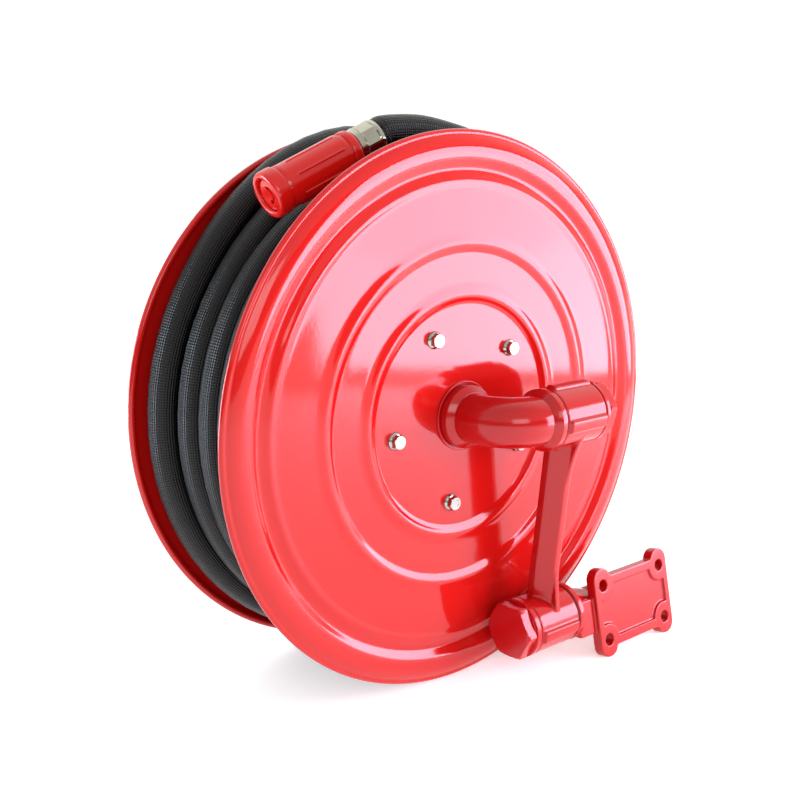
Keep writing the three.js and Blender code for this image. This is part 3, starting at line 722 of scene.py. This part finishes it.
outline = plate_outline()
n = len(outline)
verts = [Vector((x, y, z)) for y in (0.0, PLATE_THICK) for x, z in outline]
faces = [tuple(range(n)), tuple(reversed(range(n, 2 * n)))]
faces += [(i, (i + 1) % n, n + (i + 1) % n, n + i) for i in range(n)]
bracket = upright("wall_bracket_moulding", verts, faces, TILT, PLATE_AT)
pocket = on_plate([(-3, -29), (3, -29), (3, 29), (-3, 29)], -55, 55)
face_dir = lean((0, 1, 0), TILT, (0, 0, 0))
hole_spots = [lean((sx * HOLE_X, 0, sz * HOLE_Z), TILT, PLATE_AT) for sx in (1, -1) for sz in (1, -1)]
for spot in hole_spots:
    boolean(pocket, lathe("tmp", [(0, -5), (17, -5), (17.6, 4), (0, 4)], face_dir, spot, 64))
boolean(bracket, pocket)
journal_prof = [(0, 51.2), (19.6, 51.2), (19.6, 110.4), (31.4, 110.4), (31.4, 118.2), (25.5, 119.4),
                (16.6, 150), (16.6, 258), (0, 258)]
boolean(bracket, lathe("tmp", fillet(journal_prof, 0.9), X_AXIS, LOWER, 96), "UNION")
neck = on_plate([(5, -19.5), (24, -17.5), (26, -8), (26, 8), (24, 17.5), (5, 19.5)], -88, -44)
boolean(bracket, neck, "UNION")
for spot in hole_spots:
    boolean(bracket, lathe("tmp", [(0, -5), (6.5, -5), (6.5, 15), (0, 15)], face_dir, spot, 48))
boolean(bracket, lathe("tmp", [(0, 60), (12.5, 60), (12.5, 262), (0, 262)], X_AXIS, LOWER, 64))
remesh(bracket, 0.8, 3)
FOOT_Z = -279.8
below = prism([(-200, -300), (60, -300), (60, FOOT_Z), (-200, FOOT_Z)], 100, 300)
boolean(bracket, mesh_object("tmp", *below))
finish_with(bracket, CAST_RED, "red_casting", "bracket", "wall_bracket")


# ---------------------------------------------------------------- nozzle
SLEEVE_RIBS = 7


def sleeve_radial(r, h, a):
    """Seven thin ribs along the grip."""
    if 14.5 < h < 82 and r > 19.5:
        wave = (a * SLEEVE_RIBS / (2 * math.pi)) % 1.0
        d = abs(wave - 0.5)
        rib = (1 - smoothstep(d, 0.035, 0.06)) * smoothstep(h, 18, 19) * (1 - smoothstep(h, 72, 73))
        return r + rib
    return r


# Rear collar and groove, grip, then the thicker front cap with its rolled mouth.
sleeve_prof = [(12.7, 0), (17.8, 0), (18.9, 0.6), (20.3, 2.6), (20.5, 3.4), (20.5, 8.6),
               (20.1, 9.4), (19.1, 9.9), (19.0, 10.6), (19.0, 12.2), (19.3, 13.0), (20.6, 13.6)]
sleeve_prof += [(20.8, 14.6 + k) for k in range(65)]
sleeve_prof += [(20.9, 80), (21.0, 84.6), (20.6, 85.2), (20.6, 86.0), (21.9, 86.7), (22.4, 87.6),
                (22.5, 89), (22.5, 97), (22.2, 98.6), (21.4, 100.2), (20.3, 101), (17.2, 101),
                (16.2, 100.4), (15.6, 99.0), (15.4, 93.4), (14.2, 92.6), (12.7, 90)]
sleeve = lathe("nozzle_sleeve_moulding", sleeve_prof, NOZZLE_DIR, NOZZLE_REAR, 280, radial=sleeve_radial)
mark_sharp(sleeve, 40)
finish_with(sleeve, NOZZLE_RED, "red_nozzle", "nozzle_sleeve_body", "nozzle_sleeve")

stem_prof = [(0, -11), (12, -11), (12, 84), (11.6, 88.5), (11, 89), (6, 89.4), (6, 94),
             (14.2, 94.2), (14.7, 94.8), (14.7, 97.4), (14.3, 98), (13.4, 98.2), (9, 98.2), (0, 98.2)]
stem = lathe("nozzle_stem_turned", stem_prof, NOZZLE_DIR, NOZZLE_REAR, 96)
SLOT_R = 6.6
u, v, d = basis(NOZZLE_DIR)
slot_arc = []
for k in range(-15, 16):
    a = 0.12 * k
    slot_arc.append(NOZZLE_REAR + d * 97.6 + (u * math.cos(a) + v * math.sin(a)) * SLOT_R)
boolean(stem, tube("tmp", slot_arc, 1.9, 16))
mark_sharp(stem, 28)
finish_with(stem, NOZZLE_RED, "red_nozzle", "drum", "nozzle_stem")

ferrule_prof = [(16.6, -27.6), (17.6, -28.3), (18.2, -27.8), (18.6, -26.6), (18.6, -24), (18.6, -22.6),
                (18.6, -8.5), (18.6, -7.2), (18.2, -6.6), (18.2, -0.9), (17.6, -0.4), (12.5, -0.4),
                (12.5, -14), (14, -16), (16.6, -20)]
FERRULE_APOTHEM = 17.4


def ferrule_radial(r, h, a):
    """Eight crimp flats round the middle of the ferrule."""
    if -23.6 < h < -8.0 and r > 18:
        turn = (a % (math.pi / 4)) - math.pi / 8
        return min(r, FERRULE_APOTHEM / math.cos(turn))
    return r


ferrule = lathe("hose_ferrule_crimped", ferrule_prof, NOZZLE_DIR, NOZZLE_REAR, 144, radial=ferrule_radial)
mark_sharp(ferrule, 20)
finish_with(ferrule, NICKEL, "nickel", "drum", "hose_ferrule")


# ---------------------------------------------------------------- rear cap and front dust ring
cap_prof = fillet([(0, 187), (26, 186), (35, 181), (37, 175.5), (44, 174.8), (44, 173.4),
                   (34, 173.4), (33, 180), (25, 184), (0, 184.6)], 1.4)
rear_cap = lathe("rear_cap_domed", cap_prof, Y_AXIS, HUB, 120)
mark_sharp(rear_cap, 40)
finish_with(rear_cap, CAP_RED, "red_cap", "drum", "rear_hub_cap")
ring_prof = fillet([(32.7, -1.3), (32.7, -3), (35.4, -3), (35.4, -1.3)], 0.5)
dust_ring = lathe("dust_ring_moulded", ring_prof, Y_AXIS, HUB, 120)
finish_with(dust_ring, CAP_RED, "red_cap", "drum", "front_dust_ring")


# ---------------------------------------------------------------- CAD nodes that stay, with their finish
KEPT = {
    SHEET_RED: ["core_front", "core_rear"],
    ZINC: ["hub_body", "rear_hub_flange"],
    STEEL: ["spindle_circlip", "hose_clamp"],
    BRASS: ["hub_spindle", "outlet_elbow"],
    SEAL: ["lower_o_ring_left", "lower_o_ring_right", "upper_o_ring_left", "upper_o_ring_right",
           "spindle_o_ring_front", "spindle_o_ring_rear", "nozzle_o_ring", "upper_thrust_washer",
           "lower_thrust_washer"],
    NYLON: ["front_bush", "rear_bush", "rear_thrust_washer"],
}
for material, names in KEPT.items():
    for node in names:
        nodes[node].data.materials.clear()
        nodes[node].data.materials.append(material)


# ---------------------------------------------------------------- floor, light
corners = [(-9, -9, 0), (9, -9, 0), (9, 9, 0), (-9, 9, 0)]
floor = mesh_object("floor", corners, [(0, 1, 2, 3)], False, metres=True)
floor_mat = Mat("pale_floor", (250, 250, 250), 0.9)
floor_mat.colour(floor_mat.ramp(floor_mat.noise(3, 2), [(0.3, (249, 249, 249)), (0.7, (252, 252, 252))]))
floor_mat.b.inputs["Emission Color"].default_value = (1, 1, 1, 1)
floor_mat.b.inputs["Emission Strength"].default_value = 0.4
floor.data.materials.append(floor_mat.m)


def area(name, place, aim, size, power, colour=(1, 1, 1)):
    """A rectangular lamp, turned to face a point."""
    light = bpy.data.lights.new(name, "AREA")
    light.shape = "RECTANGLE"
    light.size, light.size_y = size
    light.energy = power
    light.color = colour
    obj = bpy.data.objects.new(name, light)
    bpy.context.scene.collection.objects.link(obj)
    obj.location = place
    obj.rotation_mode = "QUATERNION"
    obj.rotation_quaternion = (Vector(aim) - Vector(place)).to_track_quat("-Z", "Y")


# The world is bright behind the right and dim in front. What the camera sees directly is plain white.
world = bpy.data.worlds.new("studio")
bpy.context.scene.world = world
world.use_nodes = True
wn, wl = world.node_tree.nodes, world.node_tree.links
wc = wn.new("ShaderNodeTexCoord")
dot = wn.new("ShaderNodeVectorMath")
dot.operation = "DOT_PRODUCT"
dot.inputs[1].default_value = (0.55, 0.80, 0.10)
wl.new(wc.outputs["Generated"], dot.inputs[0])
fall = wn.new("ShaderNodeMapRange")
fall.interpolation_type = "SMOOTHSTEP"
fall.inputs["From Min"].default_value = -0.15
fall.inputs["From Max"].default_value = 0.45
fall.inputs["To Min"].default_value = 0.25
fall.inputs["To Max"].default_value = 0.9
wl.new(dot.outputs["Value"], fall.inputs["Value"])
wl.new(fall.outputs["Result"], wn["Background"].inputs["Strength"])
wn["Background"].inputs["Color"].default_value = (1, 1, 1, 1)
backdrop = wn.new("ShaderNodeBackground")
backdrop.inputs["Color"].default_value = (1, 1, 1, 1)
backdrop.inputs["Strength"].default_value = 1.05
seen = wn.new("ShaderNodeLightPath")
pick = wn.new("ShaderNodeMixShader")
wl.new(seen.outputs["Is Camera Ray"], pick.inputs["Fac"])
wl.new(wn["Background"].outputs[0], pick.inputs[1])
wl.new(backdrop.outputs[0], pick.inputs[2])
wl.new(pick.outputs[0], wn["World Output"].inputs["Surface"])
# A low panel at the front right is what the disc mirrors, a strip behind the left lights the hose turns,
# and a wide soft sun keeps the floor white.
area("right_panel", (1.08, -1.08, 0.44), (0.05, -0.04, 0.36), (1.05, 0.8), 30, (0.95, 0.77, 1.0))
area("left_strip", (-1.25, 1.2, 0.3), (-0.25, 0.0, 0.3), (0.4, 0.8), 20, (0.76, 0.87, 1.0))
area("front_fill", (-0.9, -2.2, 1.1), (0, 0.05, 0.3), (1.2, 0.8), 10)
sun = bpy.data.lights.new("overhead", "SUN")
sun.energy = 1.7
sun.angle = math.radians(150)
sun_object = bpy.data.objects.new("overhead", sun)
bpy.context.scene.collection.objects.link(sun_object)
bpy.context.scene.view_settings.view_transform = "Standard"
